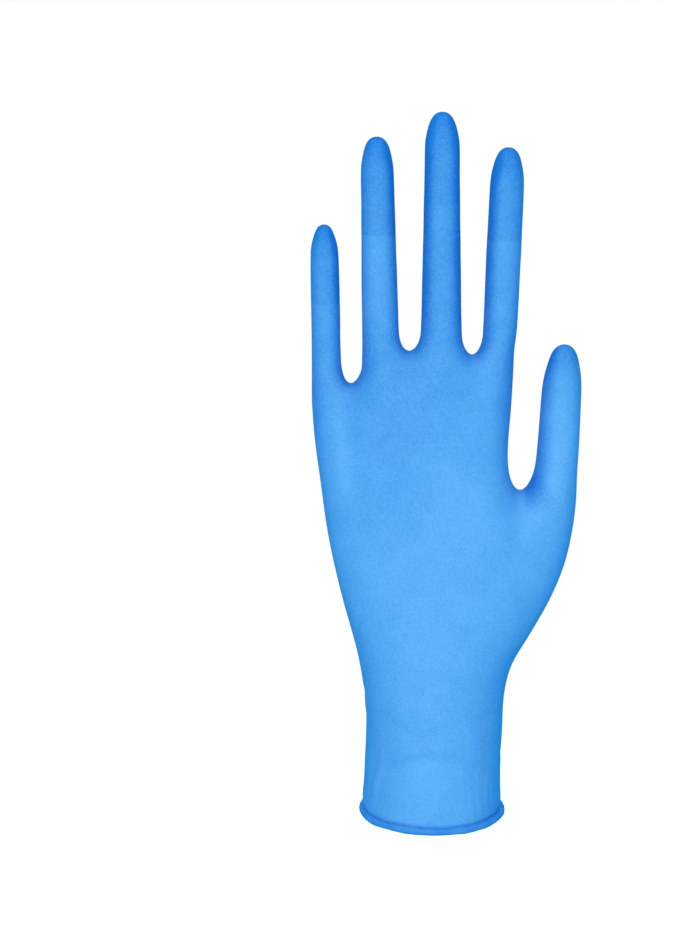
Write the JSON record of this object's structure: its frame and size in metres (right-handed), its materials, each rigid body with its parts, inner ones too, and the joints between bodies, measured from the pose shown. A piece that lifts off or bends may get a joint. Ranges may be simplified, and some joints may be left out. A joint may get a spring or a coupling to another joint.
{
  "type": "nitrile exam glove",
  "caption": "Thin blue nitrile exam glove, filled out as if worn, with a round cuff that ends in a rolled bead. Fits either hand.",
  "frame": {"origin": "middle of the wrist opening, level with the rolled edge's lowest points", "axes": "+Z from the cuff's edge to the fingertips, +X across the palm to the thumb's side, +Y from the front to the back"},
  "size_m": [0.0908, 0.0516, 0.2398],
  "materials": {
    "film": "satin nitrile film"
  },
  "bodies": {
    "root": {"glove": "film"}
  },
  "joints": []
}
